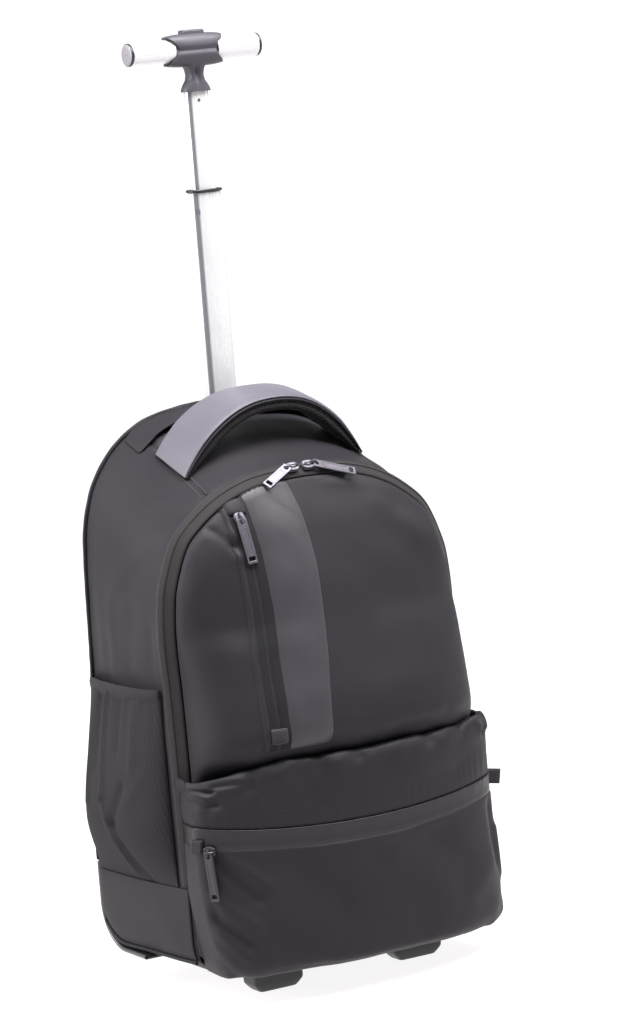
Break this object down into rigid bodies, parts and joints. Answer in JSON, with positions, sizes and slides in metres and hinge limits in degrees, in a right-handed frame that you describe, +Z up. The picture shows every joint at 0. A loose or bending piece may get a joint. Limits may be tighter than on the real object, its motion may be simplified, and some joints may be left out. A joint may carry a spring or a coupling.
{
  "type": "wheeled backpack",
  "caption": "Upright cloth backpack on a hard base with rear wheels and front feet, a padded carry handle, side pockets of net and a telescoping T handle.",
  "frame": {"origin": "on the floor, at the middle of the footprint", "axes": "+Z up, -Y towards the bag's front with the lower pocket, +X to the right as seen from the front"},
  "size_m": [0.355, 0.2832, 0.849],
  "materials": {
    "bag_cloth": "matt charcoal cloth",
    "band_cloth": "satin grey coated cloth",
    "zip_tape": "woven tape",
    "net": "knitted net",
    "webbing": "ribbed webbing",
    "padding": "air mesh over foam",
    "gunmetal": "gunmetal",
    "black_plastic": "fine grain",
    "aluminium": "satin anodised",
    "tyre": "matt",
    "steel": "plain"
  },
  "bodies": {
    "bag": {"bag_shell": "bag_cloth", "front_panel": "bag_cloth", "pocket_roof": "bag_cloth", "pocket_front": "bag_cloth", "slot_top_tab": "bag_cloth", "slot_end_tab": "bag_cloth", "side_base_left": "bag_cloth", "side_base_right": "bag_cloth", "back_piping": "bag_cloth", "mast_flap": "bag_cloth", "accent_band": "band_cloth", "carry_handle_top": "band_cloth", "pocket_zip_tape": "band_cloth", "main_zip_outer_tape": "zip_tape", "main_zip_inner_tape": "zip_tape", "slot_zip_tape": "zip_tape", "mesh_pocket_left": "net", "mesh_pocket_right": "net", "mesh_band_left": "webbing", "mesh_band_right": "webbing", "pocket_tab_left": "webbing", "pocket_tab_right": "webbing", "strap_web_left": "webbing", "strap_web_right": "webbing", "carry_handle_grip": "padding", "back_pad": "padding", "strap_left": "padding", "strap_right": "padding", "slot_slider": "gunmetal", "slot_pull": "gunmetal", "main_slider_left": "gunmetal", "main_pull_left": "gunmetal", "main_slider_right": "gunmetal", "main_pull_right": "gunmetal", "pocket_slider": "black_plastic", "pocket_pull": "black_plastic", "base_panel": "black_plastic", "foot_left": "black_plastic", "foot_right": "black_plastic", "wheel_guard": "black_plastic", "mast_socket": "black_plastic", "mast_outer": "aluminium", "axle_left": "steel", "axle_right": "steel"},
    "mast_middle": {"mast_middle": "aluminium", "mast_collar": "black_plastic"},
    "mast_inner": {"mast_inner": "aluminium", "grip_hub": "black_plastic", "grip_tube_left": "aluminium", "grip_tube_right": "aluminium", "grip_cap_left": "black_plastic", "grip_cap_right": "black_plastic"},
    "release_button": {"release_button": "black_plastic"},
    "wheel_left": {"wheel_left": "tyre"},
    "wheel_right": {"wheel_right": "tyre"}
  },
  "joints": [
    {"name": "mast_middle_slide", "type": "slide", "parent": "bag", "child": "mast_middle", "axis": [0, 0, 1], "range_m": [-0.188, 0]},
    {"name": "mast_inner_slide", "type": "slide", "parent": "mast_middle", "child": "mast_inner", "axis": [0, 0, 1], "range_m": [-0.077, 0.1]},
    {"name": "release_button_press", "type": "slide", "parent": "mast_inner", "child": "release_button", "axis": [0, 0, -1], "range_m": [0, 0.003], "stiffness_N_per_m": 600, "springref_m": -0.001},
    {"name": "wheel_left_spin", "type": "hinge", "parent": "bag", "child": "wheel_left", "pos_m": [-0.08, 0.0764, 0.03], "axis": [1, 0, 0], "continuous": true},
    {"name": "wheel_right_spin", "type": "hinge", "parent": "bag", "child": "wheel_right", "pos_m": [0.08, 0.0764, 0.03], "axis": [1, 0, 0], "continuous": true}
  ]
}
